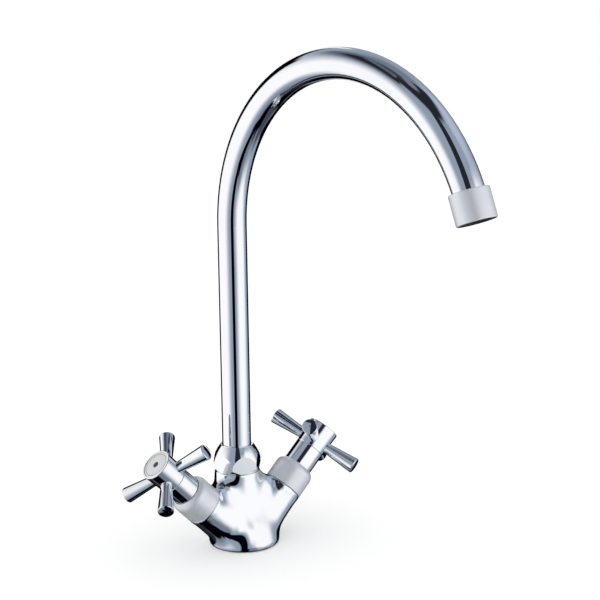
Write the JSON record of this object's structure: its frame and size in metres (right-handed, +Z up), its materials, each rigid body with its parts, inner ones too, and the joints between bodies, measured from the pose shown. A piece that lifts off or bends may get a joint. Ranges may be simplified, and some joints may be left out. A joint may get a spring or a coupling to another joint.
{
  "type": "two handle kitchen faucet",
  "caption": "Deck-mounted kitchen mixer tap: chromed casting with cross handles on angled arms and a tall swivelling swan-neck spout.",
  "frame": {"origin": "centre of the foot's underside, on the sink top, over the tap hole", "axes": "+Z up, spout towards -Y at rest but for a few degrees, cold handle on +X, hot handle on -X"},
  "size_m": [0.1682, 0.2611, 0.3493],
  "materials": {
    "chrome": "mirror chrome plate on brass",
    "satin_chrome": "pale satin chrome plate",
    "index_cap": "satin pale grey",
    "brass": "machined",
    "rubber": "matt black",
    "nylon": "natural",
    "ceramic": null,
    "mesh_steel": "stainless"
  },
  "bodies": {
    "mixer": {"mixer_body": "chrome", "spout_nut": "chrome", "base_seal": "rubber", "spout_slip_ring": "nylon", "hot_valve_collar": "satin_chrome", "hot_valve_bonnet": "brass", "hot_bonnet_o_ring": "rubber", "hot_seat_seal": "rubber", "hot_fixed_disc": "ceramic", "cold_valve_collar": "satin_chrome", "cold_valve_bonnet": "brass", "cold_bonnet_o_ring": "rubber", "cold_seat_seal": "rubber", "cold_fixed_disc": "ceramic"},
    "hot_handle": {"hot_spindle": "brass", "hot_moving_disc": "ceramic", "hot_spindle_o_rings": "rubber", "hot_spindle_clip": "mesh_steel", "hot_handle_sleeve": "chrome", "hot_handle_hub": "chrome", "hot_cross_arm_1": "chrome", "hot_cross_arm_2": "chrome", "hot_cross_arm_3": "chrome", "hot_cross_arm_4": "chrome", "hot_index_cap": "index_cap", "hot_handle_screw": "mesh_steel"},
    "cold_handle": {"cold_spindle": "brass", "cold_moving_disc": "ceramic", "cold_spindle_o_rings": "rubber", "cold_spindle_clip": "mesh_steel", "cold_handle_sleeve": "chrome", "cold_handle_hub": "chrome", "cold_cross_arm_1": "chrome", "cold_cross_arm_2": "chrome", "cold_cross_arm_3": "chrome", "cold_cross_arm_4": "chrome", "cold_index_cap": "index_cap", "cold_handle_screw": "mesh_steel"},
    "spout": {"spout_tube": "chrome", "spout_tail": "brass", "spout_tail_o_rings": "rubber", "spout_snap_ring": "nylon", "aerator_housing": "mesh_steel", "aerator_collar": "satin_chrome", "aerator_gasket": "rubber", "aerator_insert": "nylon", "aerator_mesh": "mesh_steel"}
  },
  "joints": [
    {"name": "spout_swivel", "type": "hinge", "parent": "mixer", "child": "spout", "pos_m": [0, 0.007, 0.06], "axis": [0, 0, 1], "continuous": true},
    {"name": "hot_valve_turn", "type": "hinge", "parent": "mixer", "child": "hot_handle", "pos_m": [-0.06124, 0, 0.06159], "axis": [-0.7071, 0, 0.7071], "range_deg": [0, 180]},
    {"name": "cold_valve_turn", "type": "hinge", "parent": "mixer", "child": "cold_handle", "pos_m": [0.06124, 0, 0.06159], "axis": [0.7071, 0, 0.7071], "range_deg": [0, 180]}
  ]
}
